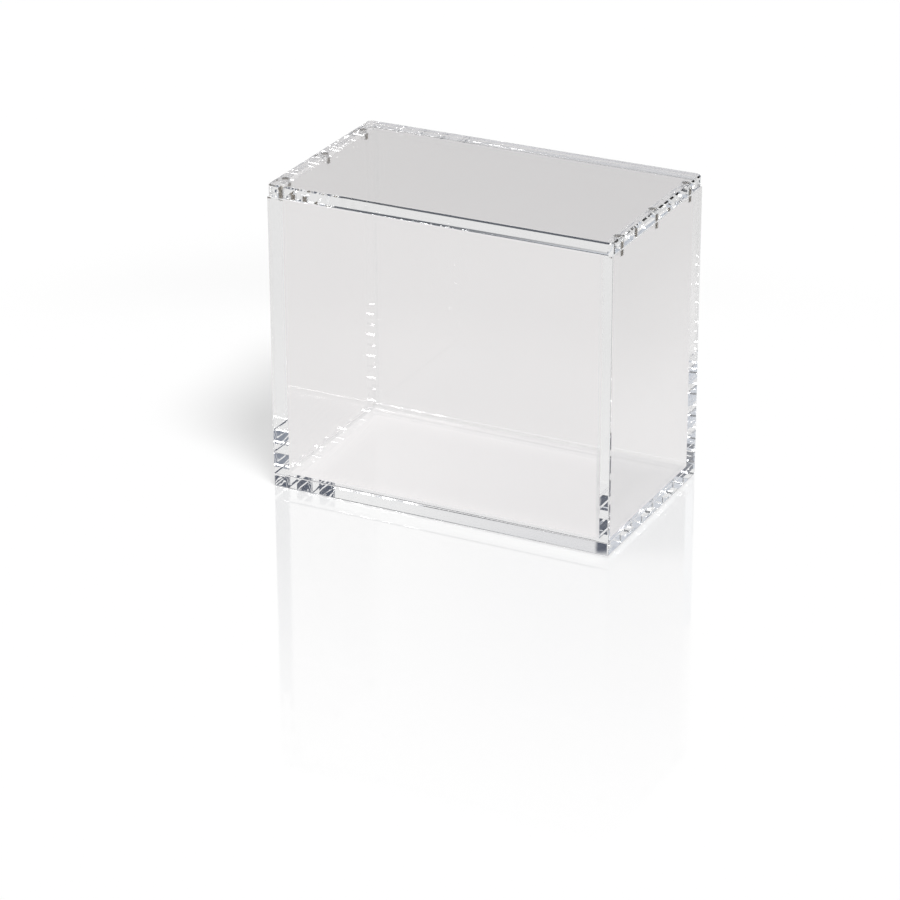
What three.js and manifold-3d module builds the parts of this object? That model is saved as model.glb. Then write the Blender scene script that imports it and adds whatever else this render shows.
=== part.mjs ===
// Clear acrylic case for one sealed box of card packs.
//
// Five panels of cast acrylic sheet are welded into an open-topped case. A loose lid of the
// same sheet lies flat on the walls, and pairs of small round magnets, set into the lid and
// into the tops of the two short walls, hold it down.
// Lengths are in millimetres and +Z is up. The long front faces -Y, and the origin is under
// the middle of the base.

import * as THREE from 'three';
import { mergeVertices } from 'three/addons/utils/BufferGeometryUtils.js';
import Module from 'manifold-3d';

const wasm = await Module();
wasm.setup();

// Room inside the closed case
const INSIDE_WIDTH = 144.8;
const INSIDE_DEPTH = 78.8;
const INSIDE_HEIGHT = 125.4;

// Acrylic sheet
const BASE_THICKNESS = 5.6;
const WALL_THICKNESS = 5.6;
const LID_THICKNESS = 5.6;

// Polished edges: upright corners are rounded, and the arrises round a face are eased
const LID_CORNER_RADIUS = 2.5;
const LID_ARRIS = 0.6;
const CASE_CORNER_RADIUS = 0.6;
const BASE_ARRIS = 0.5;

// Magnets, and the blind pockets that they are glued into
const MAGNET_DIAMETER = 3;
const MAGNET_LENGTH = 3;
const MAGNET_CHAMFER = 0.2;
const MAGNET_GLUE_GAP = 0.25;
const MAGNET_RECESS = 0.1;
const MAGNET_END_DISTANCE = 11;

// Facets on round forms
const CORNER_STEPS = 6;
const ARRIS_STEPS = 2;
const ROUND_SIDES = 32;

// Sizes and places that follow from the ones above
const OUTSIDE_WIDTH = INSIDE_WIDTH + 2 * WALL_THICKNESS;
const OUTSIDE_DEPTH = INSIDE_DEPTH + 2 * WALL_THICKNESS;
const LID_SEAT_HEIGHT = BASE_THICKNESS + INSIDE_HEIGHT;
const WALL_MIDDLE_X = (INSIDE_WIDTH + WALL_THICKNESS) / 2;
const WALL_MIDDLE_Y = (INSIDE_DEPTH + WALL_THICKNESS) / 2;
const POCKET_RADIUS = MAGNET_DIAMETER / 2 + MAGNET_GLUE_GAP;
const POCKET_DEPTH = MAGNET_LENGTH + MAGNET_RECESS;
const MAGNET_REACH_Y = OUTSIDE_DEPTH / 2 - MAGNET_END_DISTANCE;

const SIDES = [
  { name: 'left', x: -WALL_MIDDLE_X },
  { name: 'right', x: WALL_MIDDLE_X },
];
const ROWS = [
  { name: 'front', y: -MAGNET_REACH_Y },
  { name: 'middle', y: 0 },
  { name: 'rear', y: MAGNET_REACH_Y },
];

const clearAcrylic = new THREE.MeshStandardMaterial({
  name: 'clear_acrylic',
  color: 0xf3f5f6,
  roughness: 0.03,
  metalness: 0,
  transparent: true,
  opacity: 0.25,
});
const nickelPlate = new THREE.MeshStandardMaterial({
  name: 'nickel_plate',
  color: 0xb3aca3,
  roughness: 0.2,
  metalness: 1,
});

// A closed three.js geometry as a solid that can be cut.
function solidFrom(geometry) {
  const bare = geometry.clone();
  bare.deleteAttribute('normal');
  bare.deleteAttribute('uv');
  const merged = mergeVertices(bare);
  return new wasm.Manifold(new wasm.Mesh({
    numProp: 3,
    vertProperties: new Float32Array(merged.attributes.position.array),
    triVerts: new Uint32Array(merged.index.array),
  }));
}

// A solid as a three.js geometry again.
function geometryFrom(solid) {
  const mesh = solid.getMesh();
  const geometry = new THREE.BufferGeometry();
  geometry.setAttribute('position', new THREE.BufferAttribute(mesh.vertProperties, 3));
  geometry.setIndex(new THREE.BufferAttribute(mesh.triVerts, 1));
  geometry.computeVertexNormals();
  return geometry;
}

// A rectangle about the origin. Each corner takes its own radius, counted anticlockwise from
// the one at +X +Y.
function roundedRectangle(width, depth, radii) {
  const shape = new THREE.Shape();
  const corners = [[1, 1], [-1, 1], [-1, -1], [1, -1]];
  corners.forEach(([sx, sy], i) => {
    const radius = radii[i];
    const start = i * Math.PI / 2;
    const x = sx * (width / 2 - radius);
    const y = sy * (depth / 2 - radius);
    if (radius > 0) {
      shape.absarc(x, y, radius, start, start + Math.PI / 2);
    } else if (i === 0) {
      shape.moveTo(x, y);
    } else {
      shape.lineTo(x, y);
    }
  });
  shape.closePath();
  return shape;
}

// A flat sheet lying on z = 0, with the arrises of both faces eased.
function easedSheet(shape, thickness, arris) {
  const geometry = new THREE.ExtrudeGeometry(shape, {
    depth: thickness - 2 * arris,
    curveSegments: CORNER_STEPS,
    bevelThickness: arris,
    bevelSize: arris,
    bevelOffset: -arris,
    bevelSegments: ARRIS_STEPS,
  });
  return geometry.translate(0, 0, arris);
}

// A round plug standing on z = 0, to cut a magnet's pocket with.
function pocketCutter(x, y, z, height) {
  const plug = new THREE.CylinderGeometry(POCKET_RADIUS, POCKET_RADIUS, height, ROUND_SIDES);
  plug.rotateX(Math.PI / 2);
  return solidFrom(plug.translate(x, y, z + height / 2));
}

// The base reaches the outside of the walls that stand on it, so only its lower arris is eased
// and its top stays square to the joint.
function basePanel() {
  const radii = Array(4).fill(CASE_CORNER_RADIUS);
  const shape = roundedRectangle(OUTSIDE_WIDTH, OUTSIDE_DEPTH, radii);
  const slab = solidFrom(easedSheet(shape, 2 * BASE_THICKNESS, BASE_ARRIS));
  const above = new THREE.BoxGeometry(2 * OUTSIDE_WIDTH, 2 * OUTSIDE_DEPTH, 2 * BASE_THICKNESS);
  return geometryFrom(slab.subtract(solidFrom(above.translate(0, 0, 2 * BASE_THICKNESS))));
}

// The front and back panels fit between the short walls.
function longWall() {
  return new THREE.BoxGeometry(INSIDE_WIDTH, WALL_THICKNESS, INSIDE_HEIGHT)
    .translate(0, 0, INSIDE_HEIGHT / 2);
}

// A short wall runs the whole depth of the case. Its outer upright edges are rounded, and its
// top edge holds the pockets. It is drawn with its outer face towards +X.
function shortWall() {
  const outline = roundedRectangle(
    WALL_THICKNESS, OUTSIDE_DEPTH, [CASE_CORNER_RADIUS, 0, 0, CASE_CORNER_RADIUS]);
  let wall = solidFrom(new THREE.ExtrudeGeometry(outline, {
    depth: INSIDE_HEIGHT,
    curveSegments: CORNER_STEPS,
    bevelEnabled: false,
  }));
  for (const { y } of ROWS) {
    wall = wall.subtract(pocketCutter(0, y, INSIDE_HEIGHT - POCKET_DEPTH, 2 * POCKET_DEPTH));
  }
  return geometryFrom(wall);
}

// The lid matches the outside of the case. Its pockets open on its underside, over the walls'.
function lidPanel() {
  const shape = roundedRectangle(OUTSIDE_WIDTH, OUTSIDE_DEPTH, Array(4).fill(LID_CORNER_RADIUS));
  let lid = solidFrom(easedSheet(shape, LID_THICKNESS, LID_ARRIS));
  for (const { x } of SIDES) {
    for (const { y } of ROWS) {
      lid = lid.subtract(pocketCutter(x, y, -POCKET_DEPTH, 2 * POCKET_DEPTH));
    }
  }
  return geometryFrom(lid);
}

// A round magnet standing on z = 0, with both rims chamfered.
function magnet() {
  const radius = MAGNET_DIAMETER / 2;
  const profile = [
    [0, 0],
    [radius - MAGNET_CHAMFER, 0],
    [radius, MAGNET_CHAMFER],
    [radius, MAGNET_LENGTH - MAGNET_CHAMFER],
    [radius - MAGNET_CHAMFER, MAGNET_LENGTH],
    [0, MAGNET_LENGTH],
  ].map(([r, height]) => new THREE.Vector2(r, height));
  return new THREE.LatheGeometry(profile, ROUND_SIDES).rotateX(Math.PI / 2);
}

function place(group, name, geometry, material, x, y, z, turn = 0) {
  const mesh = new THREE.Mesh(geometry, material);
  mesh.name = name;
  mesh.position.set(x, y, z);
  mesh.rotation.z = turn;
  group.add(mesh);
}

const openCase = new THREE.Group();
place(openCase, 'base_panel', basePanel(), clearAcrylic, 0, 0, 0);
place(openCase, 'front_panel', longWall(), clearAcrylic, 0, -WALL_MIDDLE_Y, BASE_THICKNESS);
place(openCase, 'back_panel', longWall(), clearAcrylic, 0, WALL_MIDDLE_Y, BASE_THICKNESS);
place(openCase, 'left_panel', shortWall(), clearAcrylic, -WALL_MIDDLE_X, 0, BASE_THICKNESS, Math.PI);
place(openCase, 'right_panel', shortWall(), clearAcrylic, WALL_MIDDLE_X, 0, BASE_THICKNESS);

const lid = new THREE.Group();
lid.position.z = LID_SEAT_HEIGHT;
place(lid, 'lid_panel', lidPanel(), clearAcrylic, 0, 0, 0);

// A magnet stands on the floor of its pocket in the wall, and hangs from the roof of its pocket
// in the lid.
for (const side of SIDES) {
  for (const row of ROWS) {
    const wallMagnetZ = LID_SEAT_HEIGHT - POCKET_DEPTH;
    place(openCase, `${side.name}_wall_magnet_${row.name}`, magnet(), nickelPlate,
      side.x, row.y, wallMagnetZ);
    place(lid, `${side.name}_lid_magnet_${row.name}`, magnet(), nickelPlate,
      side.x, row.y, MAGNET_RECESS);
  }
}

const boxCase = new THREE.Group();
boxCase.add(openCase, lid);

export default boxCase;
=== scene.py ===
"""Dressed model of a clear acrylic case with a loose, magnet-held lid.

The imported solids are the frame. Each panel and magnet is modelled again in finer detail in the
place of its solid, and set in a plain white studio, seen from the photograph's angle.
Lengths in the classes are millimetres. Blender's own units are metres.
"""

import logging
import math
from collections.abc import Callable, Sequence
from dataclasses import dataclass, field
from enum import Enum

import bmesh
import bpy
from mathutils import Matrix, Vector


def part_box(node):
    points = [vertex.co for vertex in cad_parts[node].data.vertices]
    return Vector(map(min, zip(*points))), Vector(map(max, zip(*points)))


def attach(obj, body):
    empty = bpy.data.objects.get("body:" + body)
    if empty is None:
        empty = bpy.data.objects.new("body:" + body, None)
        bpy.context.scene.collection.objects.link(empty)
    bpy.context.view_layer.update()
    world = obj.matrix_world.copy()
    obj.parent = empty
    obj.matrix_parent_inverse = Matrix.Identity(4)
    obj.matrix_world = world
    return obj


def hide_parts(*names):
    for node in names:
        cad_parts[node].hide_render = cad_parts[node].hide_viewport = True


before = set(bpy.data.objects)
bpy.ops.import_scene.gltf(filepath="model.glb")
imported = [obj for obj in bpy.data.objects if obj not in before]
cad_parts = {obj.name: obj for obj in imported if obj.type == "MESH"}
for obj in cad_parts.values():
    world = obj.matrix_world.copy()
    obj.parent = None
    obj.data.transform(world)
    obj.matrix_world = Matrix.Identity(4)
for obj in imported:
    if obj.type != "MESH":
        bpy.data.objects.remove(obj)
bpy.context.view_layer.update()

log = logging.getLogger("box_case")

MM = 0.001
IMAGE_SIDE = 900
WHITE = "#ffffff"
BLACK = "#000000"

# Tests on edges and faces: how far a direction or a normal may lean, how near counts as the same
# place, and how far in from the edge of a sheet a face no longer belongs to that edge
ALONG = 0.9
ACROSS = 0.1
SQUARE = 0.99
TOUCH = 0.01
EDGE_MARGIN = 1.0

# Facets on round forms, and how far outside the sheet a drill starts
MAGNET_SIDES = 64
POCKET_SIDES = 48
DRILL_START = 1.0

# A wave texture repeats at this length when its scale is 1
WAVE_PERIOD = 0.314

# Refraction of acrylic
ACRYLIC_IOR = 1.49

Triple = tuple[float, float, float]
Band = tuple[float, float]
Test = Callable[[Vector, Vector], bool]


class Side(Enum):
    """The two short walls, with the sign of X that each stands on."""

    LEFT = -1
    RIGHT = 1

    @property
    def word(self) -> str:
        """The side's name as the solids spell it."""
        return self.name.lower()


class Row(Enum):
    """The three places of a magnet along a short wall, as the solids spell them."""

    FRONT = "front"
    MIDDLE = "middle"
    REAR = "rear"


class Axis(Enum):
    """An axis of the frame, by its place in a vector."""

    X = 0
    Y = 1
    Z = 2


class Part(Enum):
    """The kinds of mesh element that a cut or an eased edge starts from."""

    EDGES = "EDGE"
    FACES = "FACE"


class Profile(Enum):
    """The shapes of a worked edge: its curve in the bevel's scale, and its facets."""

    ROUNDED = (0.5, 8)
    SCRAPED = (0.25, 1)

    @property
    def curve(self) -> float:
        """The bevel's profile: half for a quarter circle, a quarter for a flat chamfer."""
        return self.value[0]

    @property
    def steps(self) -> int:
        """The number of facets across the edge."""
        return self.value[1]


class Skin(Enum):
    """The surfaces of an acrylic panel, by the place of their finish in its slots."""

    SHEET = 0
    EDGE = 1
    WELD = 2
    POCKET = 3


Skins = dict[Skin, bpy.types.Material]


def along(way: Vector, axis: Axis) -> bool:
    """Tells whether an edge runs along an axis, either way round."""
    return abs(way[axis.value]) > ALONG


def across(way: Vector, axis: Axis) -> bool:
    """Tells whether an edge runs across an axis."""
    return abs(way[axis.value]) < ACROSS


def square_to(normal: Vector, axis: Axis) -> bool:
    """Tells whether a face is square to an axis, facing either way."""
    return abs(normal[axis.value]) > SQUARE


def meets(place: float, plane: float) -> bool:
    """Tells whether a place lies on a plane, both along one axis."""
    return abs(place - plane) < TOUCH


def corners(node: str) -> tuple[Triple, Triple]:
    """Reads the box of a solid.

    Args:
        node: The solid's name.

    Returns:
        Its lowest and its highest corner in millimetres, to the micrometre.
    """
    low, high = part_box(node)
    return tuple(round(v / MM, 3) for v in low), tuple(round(v / MM, 3) for v in high)


def linear(hex_colour: str) -> tuple[float, float, float, float]:
    """Turns an sRGB hex colour to linear light.

    Args:
        hex_colour: The colour as "#rrggbb".

    Returns:
        Red, green, blue and an alpha of 1.
    """
    parts = [int(hex_colour[i:i + 2], 16) / 255 for i in (1, 3, 5)]
    light = [c / 12.92 if c <= 0.04045 else ((c + 0.055) / 1.055) ** 2.4 for c in parts]
    return light[0], light[1], light[2], 1.0


def put(
    tree: bpy.types.NodeTree, kind: str, settings: dict | None = None, inputs: dict | None = None
) -> bpy.types.Node:
    """Adds a node with its settings, its values and its links.

    Args:
        tree: The node tree that takes the node.
        kind: The node's type name.
        settings: Properties of the node, by name.
        inputs: Values or output sockets for its inputs, by name or place.

    Returns:
        The new node.
    """
    new = tree.nodes.new(kind)
    for name, value in (settings or {}).items():
        setattr(new, name, value)
    for name, value in (inputs or {}).items():
        if isinstance(value, bpy.types.NodeSocket):
            tree.links.new(value, new.inputs[name])
        else:
            new.inputs[name].default_value = value
    return new


def fresh_material(name: str) -> tuple[bpy.types.Material, bpy.types.NodeTree]:
    """Makes an empty node material.

    Args:
        name: The finish's name.

    Returns:
        The material and its node tree.
    """
    made = bpy.data.materials.new(name)
    made.use_nodes = True
    made.node_tree.nodes.clear()
    return made, made.node_tree


def alone(obj: bpy.types.Object) -> None:
    """Makes an object the only selected one, and the active one.

    Args:
        obj: The object to work on.
    """
    bpy.ops.object.select_all(action="DESELECT")
    obj.select_set(True)
    bpy.context.view_layer.objects.active = obj


def pick(obj: bpy.types.Object, part: Part, test: Test) -> None:
    """Selects the edges or faces that pass a test, with the object in edit mode.

    Args:
        obj: The object in edit mode.
        part: Whether edges or faces are tested.
        test: Takes a middle in millimetres, and an edge's direction or a face's normal.
    """
    bpy.ops.mesh.select_mode(type=part.value)
    bpy.ops.mesh.select_all(action="DESELECT")
    cage = bmesh.from_edit_mesh(obj.data)
    if part is Part.EDGES:
        for edge in cage.edges:
            start, end = (v.co / MM for v in edge.verts)
            edge.select_set(test((start + end) / 2, (end - start).normalized()))
    else:
        for face in cage.faces:
            face.select_set(test(face.calc_center_median() / MM, face.normal))
    cage.select_flush_mode()
    bmesh.update_edit_mesh(obj.data)


def through_glass(tree: bpy.types.NodeTree, body: bpy.types.Node, shade: str) -> None:
    """Ends an acrylic finish so that lamps and soft bounced light pass straight through it.

    Args:
        tree: The finish's node tree.
        body: The shader that the eye sees.
        shade: What a face lets through, as a hex colour.
    """
    path = put(tree, "ShaderNodeLightPath")
    dimmed = put(tree, "ShaderNodeBsdfTransparent", None, {"Color": linear(shade)})
    clear = put(tree, "ShaderNodeBsdfTransparent", None, {"Color": linear(WHITE)})
    lit = put(tree, "ShaderNodeMixShader", None, {
        0: path.outputs["Is Shadow Ray"], 1: body.outputs[0], 2: dimmed.outputs[0]})
    soft = put(tree, "ShaderNodeMixShader", None, {
        0: path.outputs["Is Diffuse Ray"], 1: lit.outputs[0], 2: clear.outputs[0]})
    put(tree, "ShaderNodeOutputMaterial", None, {"Surface": soft.outputs[0]})


@dataclass(frozen=True)
class CastAcrylic:
    """Clear cast acrylic sheet, as smooth as the glass plates that it was cast between."""

    # To the eye: colourless, with sharp mirror images and only a breath of haze that drifts.
    name: str = "clear_cast_acrylic"
    tint: str = "#fefdfd"
    haze: str = "#fcfbfb"
    shade: str = "#dcdcdc"
    drift: float = 60.0

    def make(self) -> bpy.types.Material:
        """Makes the finish: clear and bending light, with the faint drift of haze of a casting.

        Returns:
            The finish.
        """
        made, tree = fresh_material(self.name)
        place = put(tree, "ShaderNodeTexCoord")
        cloud = put(tree, "ShaderNodeTexNoise", None, {
            "Vector": place.outputs["Object"], "Scale": 1 / (self.drift * MM), "Detail": 2.0})
        tone = put(tree, "ShaderNodeMix", {"data_type": "RGBA"}, {
            0: cloud.outputs["Fac"], 6: linear(self.tint), 7: linear(self.haze)})
        body = put(tree, "ShaderNodeBsdfPrincipled", None, {
            "Base Color": tone.outputs[2], "Roughness": 0.0, "IOR": ACRYLIC_IOR,
            "Transmission Weight": 1.0,
        })
        through_glass(tree, body, self.shade)
        return made


@dataclass(frozen=True)
class PolishedEdge:
    """A sawn edge of the sheet, polished clear again, with the slight waves that this leaves."""

    # To the eye: as clear as the faces, but what it mirrors is drawn out of true a little.
    name: str = "polished_acrylic_edge"
    tint: str = "#fdfdfd"
    haze: str = "#fafafa"
    shade: str = "#dadada"
    wave_length: float = 9.0
    wave_height: float = 0.002

    def make(self) -> bpy.types.Material:
        """Makes the finish: the sheet's own clearness over a faintly rippled surface.

        Returns:
            The finish.
        """
        made, tree = fresh_material(self.name)
        place = put(tree, "ShaderNodeTexCoord")
        waves = put(tree, "ShaderNodeTexNoise", None, {
            "Vector": place.outputs["Object"], "Scale": 1 / (self.wave_length * MM),
            "Detail": 1.0, "Roughness": 0.4,
        })
        ripple = put(tree, "ShaderNodeBump", None, {
            "Height": waves.outputs["Fac"], "Strength": 1.0, "Distance": self.wave_height * MM})
        tone = put(tree, "ShaderNodeMix", {"data_type": "RGBA"}, {
            0: waves.outputs["Fac"], 6: linear(self.tint), 7: linear(self.haze)})
        body = put(tree, "ShaderNodeBsdfPrincipled", None, {
            "Base Color": tone.outputs[2], "Roughness": 0.0, "IOR": ACRYLIC_IOR,
            "Transmission Weight": 1.0, "Normal": ripple.outputs[0],
        })
        through_glass(tree, body, self.shade)
        return made


@dataclass(frozen=True)
class SolventWeld:
    """The joint between two panels: solvent lets the sheets flow together, so light crosses it."""

    # To the eye: almost nothing, a bloom that turns the joint a shade milky here and there.
    name: str = "solvent_weld"
    colour: str = "#f4f6f7"
    roughness: float = 0.5
    patch: float = 4.0
    patch_edge: Band = (0.35, 0.65)
    bloom: Band = (0.005, 0.04)

    def make(self) -> bpy.types.Material:
        """Makes the finish: a clear joint with a faint milky bloom in patches.

        Returns:
            The finish.
        """
        made, tree = fresh_material(self.name)
        place = put(tree, "ShaderNodeTexCoord")
        spread = put(tree, "ShaderNodeTexNoise", None, {
            "Vector": place.outputs["Object"], "Scale": 1 / (self.patch * MM), "Detail": 2.0})
        cloud = put(tree, "ShaderNodeMapRange", None, {
            "Value": spread.outputs["Fac"],
            "From Min": self.patch_edge[0], "From Max": self.patch_edge[1],
            "To Min": self.bloom[0], "To Max": self.bloom[1],
        })
        milky = put(tree, "ShaderNodeBsdfPrincipled", None, {
            "Base Color": linear(self.colour), "Roughness": self.roughness,
            "Alpha": cloud.outputs[0],
        })
        put(tree, "ShaderNodeOutputMaterial", None, {"Surface": milky.outputs[0]})
        return made


@dataclass(frozen=True)
class DrilledPocket:
    """The wall of a blind hole, left satin by the drill."""

    # To the eye: a grey frosted ring round each magnet, banded by the turns of the drill. The
    # bands are drawn coarser than a real drill's, so that they show.
    name: str = "drilled_pocket"
    tint: str = "#f3f4f5"
    shade: str = "#e0e2e4"
    ring: float = 0.25
    ring_wander: float = 1.5
    blur: Band = (0.18, 0.32)

    def make(self) -> bpy.types.Material:
        """Makes the finish: acrylic that blurs what lies behind it, in the rings of the drill.

        Returns:
            The finish.
        """
        made, tree = fresh_material(self.name)
        place = put(tree, "ShaderNodeTexCoord")
        rings = put(tree, "ShaderNodeTexWave", {"bands_direction": "Z"}, {
            "Vector": place.outputs["Object"], "Scale": WAVE_PERIOD / (self.ring * MM),
            "Distortion": self.ring_wander,
        })
        satin = put(tree, "ShaderNodeMapRange", None, {
            "Value": rings.outputs["Fac"], "To Min": self.blur[0], "To Max": self.blur[1]})
        body = put(tree, "ShaderNodeBsdfPrincipled", None, {
            "Base Color": linear(self.tint), "Roughness": satin.outputs[0], "IOR": ACRYLIC_IOR,
            "Transmission Weight": 1.0,
        })
        through_glass(tree, body, self.shade)
        return made


@dataclass(frozen=True)
class NickelPlate:
    """Bright nickel over a pressed magnet, finely pitted and slightly warm in colour."""

    # To the eye: a small bright button, warmer than steel, with a grain that breaks its shine.
    # The grain is drawn much coarser than on real plating, so that it shows.
    name: str = "nickel_plate"
    colour: str = "#e4e0da"
    dulled: str = "#c4bdb3"
    roughness: float = 0.22
    grain: float = 0.35
    pit_strength: float = 0.3
    pit_depth: float = 0.01

    def make(self) -> bpy.types.Material:
        """Makes the finish: metal with a mottled tone and a fine grain.

        Returns:
            The finish.
        """
        made, tree = fresh_material(self.name)
        place = put(tree, "ShaderNodeTexCoord")
        mottle = put(tree, "ShaderNodeTexNoise", None, {
            "Vector": place.outputs["Object"], "Scale": 1 / (self.grain * MM), "Detail": 3.0})
        tone = put(tree, "ShaderNodeMix", {"data_type": "RGBA"}, {
            0: mottle.outputs["Fac"], 6: linear(self.dulled), 7: linear(self.colour)})
        pits = put(tree, "ShaderNodeBump", None, {
            "Height": mottle.outputs["Fac"], "Strength": self.pit_strength,
            "Distance": self.pit_depth * MM,
        })
        metal = put(tree, "ShaderNodeBsdfPrincipled", None, {
            "Base Color": tone.outputs[2], "Metallic": 1.0, "Roughness": self.roughness,
            "Normal": pits.outputs[0],
        })
        put(tree, "ShaderNodeOutputMaterial", None, {"Surface": metal.outputs[0]})
        return made


@dataclass(frozen=True)
class WhiteTable:
    """A white gloss laminate table top, which mirrors what stands on it faintly.

    Bands are places on the table in millimetres: from the middle along X, or outwards from the
    outside of the case, so that a place under the case is negative. Tones are shares of white, and
    the tones that the acrylic shows are painted light and shade, glowing in place of the lamps' light.
    """

    # To the eye: as white as the background, with a soft shadow and a reflection that fades.
    half_x: float
    half_y: float
    name: str = "white_gloss_laminate"
    colour: str = "#f2f2f2"
    gloss: float = 0.04
    # Added for the camera alone, so that the table meets the white background without a line
    eye_lift: float = 0.12
    # The mirror image is strongest at the case
    mirror: float = 0.22
    mirror_reach: float = 260.0
    # Painted shade: in mirror images the table darkens to black towards the far right
    right_painted_shade: float = 0.45
    painted_shade_band: Band = (125.0, 200.0)
    # Painted light seen through the acrylic: glowing tones beside the case, lighter near it and darker
    # far off
    through_share: float = 0.94
    near: float = 0.86
    far: float = 0.79
    far_reach: float = 140.0
    # Painted light seen through the acrylic: glowing tones under the case, from its middle out to its
    # walls, lighter near the walls and on the left
    foot: float = 0.5
    under: float = 0.93
    under_rim: float = 0.99
    rim_band: Band = (-20.0, -9.0)
    under_walls: float = 0.96
    wall_band: Band = (-9.0, -5.4)
    under_left: float = 1.02
    under_right: float = 0.95
    # A painted shadow line at the foot of the long walls
    painted_seam_shadow: float = 0.86
    seam_place: float = -5.75
    seam_half: float = 0.4

    def open_table(
        self, tree: bpy.types.NodeTree, path: bpy.types.Node, spot: bpy.types.Node
    ) -> bpy.types.NodeSocket:
        """Makes the table as the lamps light it.

        Args:
            tree: The finish's node tree.
            path: Its light path node.
            spot: The place on the table, as X, Y and Z.

        Returns:
            The shader.
        """
        white = put(tree, "ShaderNodeBsdfDiffuse", None, {"Color": linear(self.colour)})
        lift = put(tree, "ShaderNodeMath", {"operation": "MULTIPLY"}, {
            0: path.outputs["Is Camera Ray"], 1: self.eye_lift})
        glow = put(tree, "ShaderNodeEmission", None, {"Strength": lift.outputs[0]})
        plain = put(tree, "ShaderNodeAddShader", None, {0: white.outputs[0], 1: glow.outputs[0]})
        # Painted shade: mirror images of the table are mixed to black towards the far right
        far_right = put(tree, "ShaderNodeMapRange", None, {
            "Value": spot.outputs["X"],
            "From Min": self.painted_shade_band[0] * MM, "From Max": self.painted_shade_band[1] * MM,
            "To Min": 0.0, "To Max": self.right_painted_shade,
        })
        dusk = put(tree, "ShaderNodeMath", {"operation": "MULTIPLY"}, {
            0: far_right.outputs[0], 1: path.outputs["Is Glossy Ray"]})
        dark = put(tree, "ShaderNodeBsdfDiffuse", None, {"Color": linear(BLACK)})
        return put(tree, "ShaderNodeMixShader", None, {
            0: dusk.outputs[0], 1: plain.outputs[0], 2: dark.outputs[0]}).outputs[0]

    def seen_through(
        self, tree: bpy.types.NodeTree, spot: bpy.types.Node, edge: bpy.types.Node, away: bpy.types.Node
    ) -> bpy.types.NodeSocket:
        """Makes the table as the acrylic shows it: glowing painted tones by place in place of the
        lamps' light, even and without the lamps' noise.

        Args:
            tree: The finish's node tree.
            spot: The place on the table, as X, Y and Z.
            edge: How far the place lies outside the case along each axis.
            away: How far the place lies from the case.

        Returns:
            The shader.
        """
        outwards = put(tree, "ShaderNodeSeparateXYZ", None, {0: edge.outputs[0]})
        margin = put(tree, "ShaderNodeMath", {"operation": "MAXIMUM"}, {
            0: outwards.outputs["X"], 1: outwards.outputs["Y"]})
        # Painted light beside the case: lighter near it, darker far off
        beside = put(tree, "ShaderNodeMapRange", None, {
            "Value": away.outputs["Value"], "From Min": 0.0, "From Max": self.far_reach * MM,
            "To Min": self.near, "To Max": self.far,
        })
        # Painted light under the case: lighter towards its rim, a little less under the walls
        rim = put(tree, "ShaderNodeMapRange", None, {
            "Value": margin.outputs[0],
            "From Min": self.rim_band[0] * MM, "From Max": self.rim_band[1] * MM,
            "To Min": self.under, "To Max": self.under_rim,
        })
        walls = put(tree, "ShaderNodeMapRange", {"interpolation_type": "SMOOTHSTEP"}, {
            "Value": margin.outputs[0],
            "From Min": self.wall_band[0] * MM, "From Max": self.wall_band[1] * MM,
        })
        shaded = put(tree, "ShaderNodeMix", {"data_type": "FLOAT"}, {
            0: walls.outputs[0], 2: rim.outputs[0], 3: self.under_walls})
        # A painted shadow line across the table at the foot of the long walls
        seam = put(tree, "ShaderNodeMath", {"operation": "COMPARE"}, {
            0: outwards.outputs["Y"], 1: self.seam_place * MM, 2: self.seam_half * MM})
        lined = put(tree, "ShaderNodeMix", {"data_type": "FLOAT"}, {
            0: seam.outputs[0], 2: shaded.outputs[0], 3: self.painted_seam_shadow})
        # Painted light and shade: lighter under the case's left, darker under its right
        painted_side_shade = put(tree, "ShaderNodeMapRange", None, {
            "Value": spot.outputs["X"],
            "From Min": -self.half_x * MM, "From Max": self.half_x * MM,
            "To Min": self.under_left, "To Max": self.under_right,
        })
        lit = put(tree, "ShaderNodeMath", {"operation": "MULTIPLY"}, {
            0: lined.outputs[0], 1: painted_side_shade.outputs[0]})
        inside = put(tree, "ShaderNodeMath", {"operation": "LESS_THAN"}, {
            0: margin.outputs[0], 1: self.foot * MM})
        tone = put(tree, "ShaderNodeMix", {"data_type": "FLOAT"}, {
            0: inside.outputs[0], 2: beside.outputs[0], 3: lit.outputs[0]})
        return put(tree, "ShaderNodeEmission", None, {"Strength": tone.outputs[0]}).outputs[0]

    def make(self) -> bpy.types.Material:
        """Makes the finish: white, with a reflection that fades away from the case, and painted light
        and shade where the acrylic shows it.

        Returns:
            The finish.
        """
        made, tree = fresh_material(self.name)
        path = put(tree, "ShaderNodeLightPath")
        place = put(tree, "ShaderNodeTexCoord")
        spot = put(tree, "ShaderNodeSeparateXYZ", None, {0: place.outputs["Object"]})
        folded = put(tree, "ShaderNodeVectorMath", {"operation": "ABSOLUTE"}, {
            0: place.outputs["Object"]})
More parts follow.
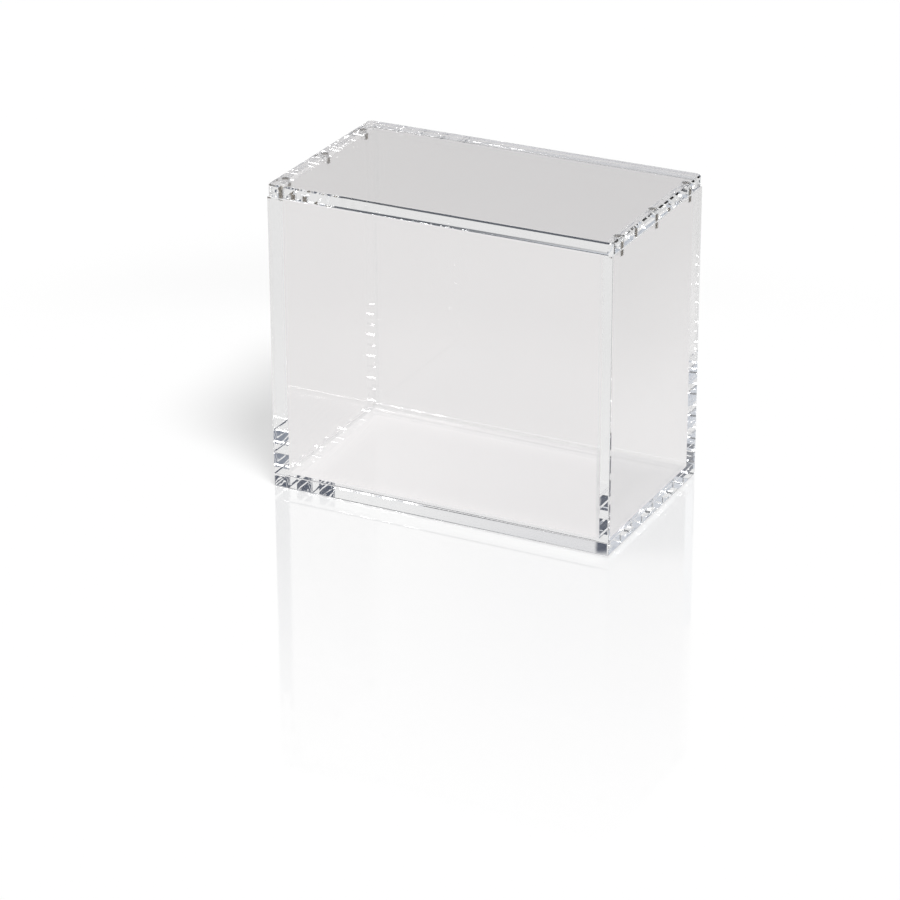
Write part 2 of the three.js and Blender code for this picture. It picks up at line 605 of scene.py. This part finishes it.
        # The height counts as far inside the case, so that only X and Y tell how far a place lies
        edge = put(tree, "ShaderNodeVectorMath", {"operation": "SUBTRACT"}, {
            0: folded.outputs[0], 1: (self.half_x * MM, self.half_y * MM, 1.0)})
        beyond = put(tree, "ShaderNodeVectorMath", {"operation": "MAXIMUM"}, {
            0: edge.outputs[0], 1: (0.0, 0.0, 0.0)})
        away = put(tree, "ShaderNodeVectorMath", {"operation": "LENGTH"}, {0: beyond.outputs[0]})
        # Transmission rays see the painted tones almost wholly, in place of the lamp-lit table
        painted_share = put(tree, "ShaderNodeMath", {"operation": "MULTIPLY"}, {
            0: path.outputs["Is Transmission Ray"], 1: self.through_share})
        table = put(tree, "ShaderNodeMixShader", None, {
            0: painted_share.outputs[0], 1: self.open_table(tree, path, spot),
            2: self.seen_through(tree, spot, edge, away),
        })
        fade = put(tree, "ShaderNodeMapRange", {"interpolation_type": "SMOOTHSTEP"}, {
            "Value": away.outputs["Value"], "From Min": 0.0, "From Max": self.mirror_reach * MM,
            "To Min": self.mirror, "To Max": 0.0,
        })
        share = put(tree, "ShaderNodeMath", {"operation": "MULTIPLY"}, {
            0: fade.outputs[0], 1: path.outputs["Is Camera Ray"]})
        shine = put(tree, "ShaderNodeBsdfAnisotropic", None, {
            "Color": linear(WHITE), "Roughness": self.gloss})
        both = put(tree, "ShaderNodeMixShader", None, {
            0: share.outputs[0], 1: table.outputs[0], 2: shine.outputs[0]})
        put(tree, "ShaderNodeOutputMaterial", None, {"Surface": both.outputs[0]})
        return made


@dataclass(frozen=True)
class CaseSizes:
    """The sizes that the case, its lid and the table share."""

    half_x: float
    half_y: float
    sheet: float
    seat: float
    top: float

    @classmethod
    def measured(cls) -> "CaseSizes":
        """Reads the sizes from the solids of the base and the lid.

        Returns:
            The sizes.
        """
        _, base_high = corners("base_panel")
        lid_low, lid_high = corners("lid_panel")
        half_x, half_y, sheet = base_high
        return cls(half_x, half_y, sheet, seat=lid_low[2], top=lid_high[2])


@dataclass
class Sheet:
    """A panel cut from acrylic sheet, from its sawn blank to its finished mesh."""

    node: str
    low: Triple
    high: Triple
    sharp_angle: float = 35.0
    flat_weight: int = 100
    obj: bpy.types.Object | None = None

    def saw(self) -> "Sheet":
        """Adds the blank at its size and place, with its place in its mesh.

        Returns:
            The sheet.
        """
        bpy.ops.object.select_all(action="DESELECT")
        middle = [(a + b) / 2 * MM for a, b in zip(self.low, self.high)]
        size = [(b - a) * MM for a, b in zip(self.low, self.high)]
        bpy.ops.mesh.primitive_cube_add(size=1.0, location=middle, scale=size)
        self.obj = bpy.context.active_object
        self.obj.name = self.obj.data.name = f"{self.node}_sheet"
        bpy.ops.object.transform_apply(location=True, rotation=True, scale=True)
        return self

    def ease(self, reach: float, profile: Profile, test: Test) -> "Sheet":
        """Takes off the edges that pass a test.

        Args:
            reach: How far the cut goes along each face.
            profile: Whether the edge is rounded or scraped flat.
            test: Takes an edge's middle and direction.

        Returns:
            The sheet.
        """
        alone(self.obj)
        bpy.ops.object.mode_set(mode="EDIT")
        pick(self.obj, Part.EDGES, test)
        bpy.ops.mesh.bevel(
            offset=reach * MM, segments=profile.steps, profile=profile.curve, affect="EDGES",
            clamp_overlap=True)
        bpy.ops.object.mode_set(mode="OBJECT")
        return self

    def score(self, axis: Axis, places: Sequence[float]) -> "Sheet":
        """Splits the faces along flat planes, so that a strip of a face can be dressed alone.

        Args:
            axis: The axis that the planes are square to.
            places: Where the planes cross that axis.

        Returns:
            The sheet.
        """
        alone(self.obj)
        bpy.ops.object.mode_set(mode="EDIT")
        for place in places:
            point, normal = [0.0, 0.0, 0.0], [0.0, 0.0, 0.0]
            point[axis.value], normal[axis.value] = place * MM, 1.0
            bpy.ops.mesh.select_all(action="SELECT")
            bpy.ops.mesh.bisect(plane_co=point, plane_no=normal)
        bpy.ops.object.mode_set(mode="OBJECT")
        return self

    def drill(self, x: float, y: float, low: float, high: float, radius: float) -> "Sheet":
        """Bores a round blind pocket.

        Args:
            x: The pocket's middle along X.
            y: The pocket's middle along Y.
            low: The drill's lower end.
            high: The drill's upper end.
            radius: The pocket's radius.

        Returns:
            The sheet.
        """
        bpy.ops.object.select_all(action="DESELECT")
        bpy.ops.mesh.primitive_cylinder_add(
            vertices=POCKET_SIDES, radius=radius * MM, depth=(high - low) * MM,
            location=(x * MM, y * MM, (low + high) / 2 * MM))
        drill = bpy.context.active_object
        bpy.ops.object.transform_apply(location=True, rotation=True, scale=True)
        alone(self.obj)
        bpy.ops.object.modifier_add(type="BOOLEAN")
        cut = self.obj.modifiers[-1]
        cut.operation, cut.solver, cut.object = "DIFFERENCE", "EXACT", drill
        bpy.ops.object.modifier_apply(modifier=cut.name)
        bpy.data.objects.remove(drill, do_unlink=True)
        return self

    def smooth(self) -> "Sheet":
        """Smooths the round edges and keeps the flat faces flat.

        Returns:
            The sheet.
        """
        alone(self.obj)
        bpy.ops.object.shade_smooth_by_angle(angle=math.radians(self.sharp_angle))
        bpy.ops.object.modifier_add(type="WEIGHTED_NORMAL")
        flat = self.obj.modifiers[-1]
        flat.weight, flat.keep_sharp = self.flat_weight, True
        bpy.ops.object.modifier_apply(modifier=flat.name)
        return self

    def dress(self, skins: Skins, kind: Callable[[Vector, Vector], Skin]) -> "Sheet":
        """Gives each face its finish.

        Args:
            skins: The finish of each kind of surface.
            kind: Takes a face's middle and normal, and names its kind of surface.

        Returns:
            The sheet.
        """
        self.obj.data.materials.clear()
        for skin in Skin:
            self.obj.data.materials.append(skins[skin])
        for face in self.obj.data.polygons:
            face.material_index = kind(face.center / MM, face.normal).value
        return self

    def seat(self, body: str) -> bpy.types.Object:
        """Puts the sheet on its body in the place of its solid.

        Args:
            body: The body that it moves with.

        Returns:
            The finished piece.
        """
        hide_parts(self.node)
        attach(self.obj, body)
        return self.obj


@dataclass
class Magnets:
    """The round magnets, modelled once and copied into every pocket."""

    diameter: float
    length: float
    rim: float = 0.2
    rim_steps: int = 4
    end_ring: float = 0.25
    end_tilt: float = 0.5
    sharp_angle: float = 50.0
    glue_round: float = 0.25
    glue_behind: float = 0.04
    first: bpy.types.Object | None = None

    @classmethod
    def measured(cls, node: str) -> "Magnets":
        """Takes the size of the magnets from one of their solids.

        Args:
            node: The solid's name.

        Returns:
            The magnets, not modelled yet.
        """
        low, high = corners(node)
        return cls(diameter=round(high[0] - low[0], 3), length=round(high[2] - low[2], 3))

    def turn(self, ends: bpy.types.Material, round_side: bpy.types.Material) -> None:
        """Models the first magnet, standing on the origin, with rounded rims.

        Args:
            ends: The plating of its flat ends.
            round_side: The plating of its side, under the glue, darker with the painted shade of its
                pocket.
        """
        bpy.ops.object.select_all(action="DESELECT")
        bpy.ops.mesh.primitive_cylinder_add(
            vertices=MAGNET_SIDES, radius=self.diameter / 2 * MM, depth=self.length * MM,
            location=(0.0, 0.0, self.length / 2 * MM))
        self.first = bpy.context.active_object
        bpy.ops.object.transform_apply(location=True, rotation=True, scale=True)
        bpy.ops.object.mode_set(mode="EDIT")
        pick(self.first, Part.EDGES, lambda at, way: across(way, Axis.Z))
        bpy.ops.mesh.bevel(
            offset=self.rim * MM, segments=self.rim_steps, profile=Profile.ROUNDED.curve,
            affect="EDGES")
        pick(self.first, Part.FACES, lambda at, normal: (
            square_to(normal, Axis.Z) and (meets(at.z, 0.0) or meets(at.z, self.length))))
        bpy.ops.mesh.inset(thickness=self.end_ring * MM, depth=0.0)
        bpy.ops.object.mode_set(mode="OBJECT")
        bpy.ops.object.shade_smooth_by_angle(angle=math.radians(self.sharp_angle))
        self.first.data.materials.append(ends)
        self.first.data.materials.append(round_side)
        for face in self.first.data.polygons:
            face.material_index = 0 if abs(face.normal.z) > self.end_tilt else 1

    def bore(self, panel: Sheet, node: str, upwards: bool) -> None:
        """Drills the blind pocket that a magnet is glued into.

        Args:
            panel: The sheet to drill.
            node: The magnet's solid.
            upwards: Whether the pocket opens on the sheet's top, or else on its underside.
        """
        low, high = corners(node)
        x, y = (low[0] + high[0]) / 2, (low[1] + high[1]) / 2
        floor = low[2] - self.glue_behind if upwards else panel.low[2] - DRILL_START
        roof = panel.high[2] + DRILL_START if upwards else high[2] + self.glue_behind
        panel.drill(x, y, floor, roof, self.diameter / 2 + self.glue_round)

    def copy(self, node: str, body: str) -> bpy.types.Object:
        """Copies the magnet into its pocket.

        Args:
            node: The solid that it stands for.
            body: The body that it moves with.

        Returns:
            The copy.
        """
        low, high = corners(node)
        piece = self.first.copy()
        piece.data = self.first.data.copy()
        bpy.context.scene.collection.objects.link(piece)
        place = Vector(((low[0] + high[0]) / 2, (low[1] + high[1]) / 2, low[2])) * MM
        piece.data.transform(Matrix.Translation(place))
        piece.name = piece.data.name = f"{node}_plated"
        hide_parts(node)
        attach(piece, body)
        return piece


@dataclass
class OpenCase:
    """The welded case: a base, two short walls of full depth, and two long walls between them."""

    sizes: CaseSizes
    corner: float = 0.4
    base_arris: float = 0.5
    groove: float = 0.6
    top_arris: float = 0.25
    made: list[bpy.types.Object] = field(default_factory=list)

    def base(self, skins: Skins) -> None:
        """Makes the base, which reaches under all four walls.

        Args:
            skins: The finishes of the sheet.
        """
        hx, hy, t = self.sizes.half_x, self.sizes.half_y, self.sizes.sheet
        rim_x, rim_y = hx - self.groove, hy - self.groove
        panel = Sheet("base_panel", (-hx, -hy, 0.0), (hx, hy, t)).saw()
        panel.ease(self.base_arris, Profile.SCRAPED, lambda at, way: (
            across(way, Axis.Z) and meets(at.z, 0.0)))
        panel.ease(self.corner, Profile.ROUNDED, lambda at, way: along(way, Axis.Z))
        panel.score(Axis.X, (-rim_x, -hx + t, hx - t, rim_x))
        panel.score(Axis.Y, (-rim_y, -hy + t, hy - t, rim_y))

        def kind(at: Vector, normal: Vector) -> Skin:
            """Names a face's surface.

            Args:
                at: The face's middle.
                normal: The face's normal.

            Returns:
                Its kind of surface.
            """
            if not square_to(normal, Axis.Z):
                return Skin.EDGE
            under_wall = abs(at.x) > hx - t or abs(at.y) > hy - t
            bare = abs(at.x) > rim_x or abs(at.y) > rim_y
            return Skin.WELD if normal.z > 0 and under_wall and not bare else Skin.SHEET

        self.made.append(panel.smooth().dress(skins, kind).seat("case"))

    def short_wall(self, side: Side, magnets: Magnets, skins: Skins) -> None:
        """Makes a short wall, with the magnets' pockets in its top edge.

        Args:
            side: Which wall it is.
            magnets: The magnets, for their pockets.
            skins: The finishes of the sheet.
        """
        hx, hy, t, top = self.sizes.half_x, self.sizes.half_y, self.sizes.sheet, self.sizes.seat
        outer, inner = side.value * hx, side.value * (hx - t)
        low, high = (min(outer, inner), -hy, t), (max(outer, inner), hy, top)
        panel = Sheet(f"{side.word}_panel", low, high).saw()
        panel.ease(self.corner, Profile.ROUNDED, lambda at, way: (
            along(way, Axis.Z) and meets(at.x, outer)))
        panel.ease(self.groove, Profile.SCRAPED, lambda at, way: (
            across(way, Axis.Z) and meets(at.z, t) and not meets(at.x, inner)))
        panel.ease(self.top_arris, Profile.SCRAPED, lambda at, way: (
            along(way, Axis.Y) and meets(at.z, top)))
        panel.score(Axis.Y, (-hy + t, hy - t))
        for row in Row:
            magnets.bore(panel, f"{side.word}_wall_magnet_{row.value}", upwards=True)

        def kind(at: Vector, normal: Vector) -> Skin:
            """Names a face's surface.

            Args:
                at: The face's middle.
                normal: The face's normal.

            Returns:
                Its kind of surface.
            """
            if square_to(normal, Axis.Z) and normal.z < 0:
                return Skin.WELD
            if square_to(normal, Axis.X) and meets(at.x, inner):
                return Skin.WELD if abs(at.y) > hy - t else Skin.SHEET
            if square_to(normal, Axis.X) and meets(at.x, outer):
                return Skin.SHEET
            below_top = t + EDGE_MARGIN < at.z < top - TOUCH
            return Skin.POCKET if below_top and abs(at.y) < hy - EDGE_MARGIN else Skin.EDGE

        self.made.append(panel.smooth().dress(skins, kind).seat("case"))

    def long_wall(self, node: str, sign: int, skins: Skins) -> None:
        """Makes the front or back wall, which fits between the short walls.

        Args:
            node: The wall's solid.
            sign: The sign of Y that it stands on.
            skins: The finishes of the sheet.
        """
        hy, t, top = self.sizes.half_y, self.sizes.sheet, self.sizes.seat
        inside_x = self.sizes.half_x - t
        outer, inner = sign * hy, sign * (hy - t)
        low, high = (-inside_x, min(outer, inner), t), (inside_x, max(outer, inner), top)
        panel = Sheet(node, low, high).saw()
        panel.ease(self.groove, Profile.SCRAPED, lambda at, way: (
            along(way, Axis.X) and meets(at.z, t) and meets(at.y, outer)))
        panel.ease(self.top_arris, Profile.SCRAPED, lambda at, way: (
            along(way, Axis.X) and meets(at.z, top)))

        def kind(at: Vector, normal: Vector) -> Skin:
            """Names a face's surface.

            Args:
                at: The face's middle.
                normal: The face's normal.

            Returns:
                Its kind of surface.
            """
            if square_to(normal, Axis.X) or (square_to(normal, Axis.Z) and normal.z < 0):
                return Skin.WELD
            return Skin.SHEET if square_to(normal, Axis.Y) else Skin.EDGE

        self.made.append(panel.smooth().dress(skins, kind).seat("case"))

    def build(self, magnets: Magnets, skins: Skins) -> None:
        """Makes the whole case with the magnets in its walls.

        Args:
            magnets: The magnets to copy into the pockets.
            skins: The finishes of the sheet.
        """
        self.base(skins)
        for side in Side:
            self.short_wall(side, magnets, skins)
        self.long_wall("front_panel", -1, skins)
        self.long_wall("back_panel", 1, skins)
        for side in Side:
            for row in Row:
                self.made.append(magnets.copy(f"{side.word}_wall_magnet_{row.value}", "case"))


@dataclass
class LooseLid:
    """The loose lid, with rounded corners, eased arrises and magnets in its underside."""

    sizes: CaseSizes
    lie: float = 0.03
    corner: float = 2.5
    arris: float = 0.6
    made: list[bpy.types.Object] = field(default_factory=list)

    def build(self, magnets: Magnets, skins: Skins) -> None:
        """Makes the lid and sets its magnets.

        Args:
            magnets: The magnets to copy into the pockets.
            skins: The finishes of the sheet.
        """
        hx, hy, top = self.sizes.half_x, self.sizes.half_y, self.sizes.top
        low = self.sizes.seat + self.lie
        nodes = [f"{side.word}_lid_magnet_{row.value}" for side in Side for row in Row]
        panel = Sheet("lid_panel", (-hx, -hy, low), (hx, hy, top)).saw()
        panel.ease(self.corner, Profile.ROUNDED, lambda at, way: along(way, Axis.Z))
        panel.ease(self.arris, Profile.SCRAPED, lambda at, way: across(way, Axis.Z))
        for node in nodes:
            magnets.bore(panel, node, upwards=False)

        def kind(at: Vector, normal: Vector) -> Skin:
            """Names a face's surface.

            Args:
                at: The face's middle.
                normal: The face's normal.

            Returns:
                Its kind of surface.
            """
            if square_to(normal, Axis.Z) and (meets(at.z, low) or meets(at.z, top)):
                return Skin.SHEET
            clear_of_edge = abs(at.x) < hx - EDGE_MARGIN and abs(at.y) < hy - EDGE_MARGIN
            return Skin.POCKET if clear_of_edge else Skin.EDGE

        self.made.append(panel.smooth().dress(skins, kind).seat("lid"))
        for node in nodes:
            self.made.append(magnets.copy(node, "lid"))


@dataclass(frozen=True)
class Passage:
    """A change from one tone of the room to another, as a value rises through a band.

    A tone is a hex colour or the name of an earlier passage. With no band, the value itself is
    the share of the second tone.
    """

    name: str
    value: bpy.types.NodeSocket
    band: Band | None
    before: str
    after: str


@dataclass
class Studio:
    """The white table, the soft key lamp and the surroundings that the acrylic mirrors.

    The surroundings are told apart by direction: its bearing, which is X over Y, and its height,
    which is Z on a unit sphere.
    """

    floor_half: float = 6000.0
    floor_drop: float = 0.1
    key_from: Triple = (0.80, -0.61, 1.66)
    key_spread: float = 19.0
    key_strength: float = 2.2
    ambient: str = "#a9a9a9"
    # Tones of the room that the acrylic bends into view
    horizon: str = "#f4f4f4"
    low_rear: str = "#3c414b"
    high_rear: str = "#3c414b"
    rear_left: str = "#f0f0f0"
    rear_middle: str = "#dedee0"
    rear_right: str = "#454c5c"
    rear_right_low: str = "#7c8391"
    front_left: str = "#c4cad4"
    front_right: str = "#f8f8f8"
    # Where those tones change
    horizon_height: Band = (0.10, 0.14)
    low_bearing: Band = (-0.62, -0.54)
    low_head: Band = (0.27, 0.30)
    high_foot: Band = (0.56, 0.66)
    wall_bearing: Band = (-0.55, -0.456)
    screen_bearing: Band = (-0.4512, -0.4495)
    screen_foot: Band = (0.380, 0.405)
    screen_head: Band = (0.4365, 0.4385)
    right_bearing: Band = (-0.30, -0.20)
    right_height: Band = (0.4155, 0.4180)
    front_turn: Band = (-0.05, 0.05)
    rear_turn: Band = (-0.02, 0.02)
    # Slanting slats at the rear right, whose gaps are shares of their pitch
    slat_pitch: float = 0.0020
    slat_slope: float = -0.64
    slat_gap: Band = (0.36, 0.44)
    # What the faces mirror: a grey room under a white ceiling
    mirrored: str = "#505050"
    ceiling_height: Band = (0.362, 0.378)
    # Clear edges pass light on many times before it leaves them
    bounces: int = 48
    clear_bounces: int = 64

    def floor(self, finish: bpy.types.Material) -> None:
        """Lays the table top just under the case.

        Args:
            finish: The table's finish.
        """
        bpy.ops.object.select_all(action="DESELECT")
        bpy.ops.mesh.primitive_plane_add(
            size=2 * self.floor_half * MM, location=(0.0, 0.0, -self.floor_drop * MM))
        table = bpy.context.active_object
        table.name = table.data.name = "studio_table"
        bpy.ops.object.transform_apply(location=True, rotation=True, scale=True)
        table.data.materials.append(finish)

    def key(self) -> None:
        """Hangs the key lamp, far off for an even light and wide for a soft shadow."""
        light = bpy.data.lights.new("key_softbox", "SUN")
        light.energy, light.angle = self.key_strength, math.radians(self.key_spread)
        lamp = bpy.data.objects.new("key_softbox", light)
        bpy.context.scene.collection.objects.link(lamp)
        lamp.rotation_mode = "QUATERNION"
        lamp.rotation_quaternion = Vector(self.key_from).to_track_quat("Z", "Y")

    def passages(self, tree: bpy.types.NodeTree) -> tuple[Passage, ...]:
        """Lists the tones of the surroundings, from the parts of the room to what each ray sees.

        The camera sees plain white. Clear and shiny surfaces see a room with light and dark
        sides, because clear edges have no drawing of their own in an even one.

        Args:
            tree: The world's node tree.

        Returns:
            The passages, in the order that they build on each other.
        """
        path = put(tree, "ShaderNodeLightPath")
        place = put(tree, "ShaderNodeTexCoord")
        way = put(tree, "ShaderNodeSeparateXYZ", None, {0: place.outputs["Generated"]})
        x, y, height = (way.outputs[axis.name] for axis in Axis)
        bearing = put(tree, "ShaderNodeMath", {"operation": "DIVIDE"}, {0: x, 1: y}).outputs[0]
        slant = put(tree, "ShaderNodeMath", {"operation": "MULTIPLY_ADD"}, {
            0: bearing, 1: self.slat_slope, 2: height})
        slat = put(tree, "ShaderNodeMath", {"operation": "PINGPONG"}, {
            0: slant.outputs[0], 1: self.slat_pitch / 2}).outputs[0]
        gap = (self.slat_gap[0] * self.slat_pitch, self.slat_gap[1] * self.slat_pitch)
        return (
            Passage("wall", bearing, self.wall_bearing, self.rear_left, self.rear_middle),
            Passage("screen", bearing, self.screen_bearing, "wall", self.rear_right),
            Passage("screen_end", height, self.screen_head, "screen", "wall"),
            Passage("middle", height, self.screen_foot, "wall", "screen_end"),
            Passage("low", bearing, self.low_bearing, self.rear_left, self.low_rear),
            Passage("upper", height, self.high_foot, "middle", self.high_rear),
            Passage("left_rear", height, self.low_head, "low", "upper"),
            Passage("slats", height, self.right_height, self.rear_right_low, self.rear_right),
            Passage("right_rear", slat, gap, "slats", self.rear_left),
            Passage("rear", bearing, self.right_bearing, "left_rear", "right_rear"),
            Passage("front", x, self.front_turn, self.front_left, self.front_right),
            Passage("room", y, self.rear_turn, "front", "rear"),
            Passage("refracted", height, self.horizon_height, self.horizon, "room"),
            Passage("reflected", height, self.ceiling_height, self.mirrored, WHITE),
            Passage("shiny", path.outputs["Is Glossy Ray"], None, self.ambient, "reflected"),
            Passage("clear", path.outputs["Is Transmission Ray"], None, "shiny", "refracted"),
            Passage("shown", path.outputs["Is Camera Ray"], None, "clear", WHITE),
        )

    def surroundings(self) -> None:
        """Makes the world: white to the eye, and a room with dark and light sides to the acrylic."""
        world = bpy.data.worlds.new("studio_surroundings")
        world.use_nodes = True
        tree = world.node_tree
        tree.nodes.clear()
        tones: dict[str, bpy.types.NodeSocket] = {}
        for step in self.passages(tree):
            share = step.value
            if step.band:
                share = put(tree, "ShaderNodeMapRange", {"interpolation_type": "SMOOTHSTEP"}, {
                    "Value": step.value, "From Min": step.band[0], "From Max": step.band[1],
                }).outputs[0]
            first, second = (
                tones[tone] if tone in tones else linear(tone) for tone in (step.before, step.after))
            tones[step.name] = put(tree, "ShaderNodeMix", {"data_type": "RGBA"}, {
                0: share, 6: first, 7: second}).outputs[2]
        sky = put(tree, "ShaderNodeBackground", None, {"Color": tones["shown"], "Strength": 1.0})
        put(tree, "ShaderNodeOutputWorld", None, {"Surface": sky.outputs[0]})
        bpy.context.scene.world = world

    def build(self, finish: bpy.types.Material) -> None:
        """Sets up the whole studio.

        Args:
            finish: The table's finish.
        """
        self.floor(finish)
        self.surroundings()
        self.key()
        cycles = bpy.context.scene.cycles
        cycles.max_bounces = cycles.glossy_bounces = cycles.transmission_bounces = self.bounces
        cycles.transparent_max_bounces = self.clear_bounces


@dataclass
class PhotoCamera:
    """The camera at the photograph's angle, found from the corners of the case in it."""

    focal_pixels: float = 3581.0
    azimuth: float = 26.83
    elevation: float = 24.31
    roll: float = -0.25
    distance: float = 1503.0
    middle: Triple = (0.0, 0.0, 68.0)
    slide_right: float = -14.81
    slide_up: float = -49.18
    sensor: float = 36.0
    sight: Band = (50.0, 50000.0)

    def build(self) -> None:
        """Makes the camera the scene's own."""
        a, e, r = (math.radians(v) for v in (self.azimuth, self.elevation, self.roll))
        back = Vector((math.sin(a) * math.cos(e), -math.cos(a) * math.cos(e), math.sin(e)))
        level = Vector((math.cos(a), math.sin(a), 0.0))
        rise = back.cross(level)
        right = math.cos(r) * level + math.sin(r) * rise
        up = -math.sin(r) * level + math.cos(r) * rise
        place = (Vector(self.middle) + self.distance * back + self.slide_right * right
                 + self.slide_up * up) * MM
        lens = bpy.data.cameras.new("photo_camera")
        lens.sensor_fit, lens.sensor_width = "HORIZONTAL", self.sensor
        lens.lens = self.focal_pixels / IMAGE_SIDE * self.sensor
        lens.clip_start, lens.clip_end = (reach * MM for reach in self.sight)
        camera = bpy.data.objects.new("photo_camera", lens)
        turned = Matrix((right, up, back)).transposed().to_4x4()
        camera.matrix_world = Matrix.Translation(place) @ turned
        bpy.context.scene.collection.objects.link(camera)
        bpy.context.scene.camera = camera


def main() -> None:
    """Builds the case, the lid and the studio in order, and reports each piece."""
    logging.basicConfig(level=logging.INFO, format="%(name)s: %(message)s")
    log.info("dressing %d solids", len(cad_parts))
    bpy.context.scene.view_settings.view_transform = "Standard"
    skins = {
        Skin.SHEET: CastAcrylic().make(),
        Skin.EDGE: PolishedEdge().make(),
        Skin.WELD: SolventWeld().make(),
        Skin.POCKET: DrilledPocket().make(),
    }
    sizes = CaseSizes.measured()
    magnets = Magnets.measured("left_wall_magnet_front")
    # Painted shade: the magnets' round sides get a darker copy of the plating, for the shade of their
    # pockets
    pocket_shaded_plate = NickelPlate("pocket_shaded_nickel_side", colour="#a79f94", dulled="#7d756a", roughness=0.3)
    magnets.turn(NickelPlate().make(), pocket_shaded_plate.make())
    case, lid = OpenCase(sizes), LooseLid(sizes)
    case.build(magnets, skins)
    lid.build(magnets, skins)
    bpy.data.objects.remove(magnets.first, do_unlink=True)
    for piece in (*case.made, *lid.made):
        log.info("%s: %d faces", piece.name, len(piece.data.polygons))
    Studio().build(WhiteTable(sizes.half_x, sizes.half_y).make())
    PhotoCamera().build()
    bpy.context.view_layer.update()


if __name__ == "__main__":
    main()
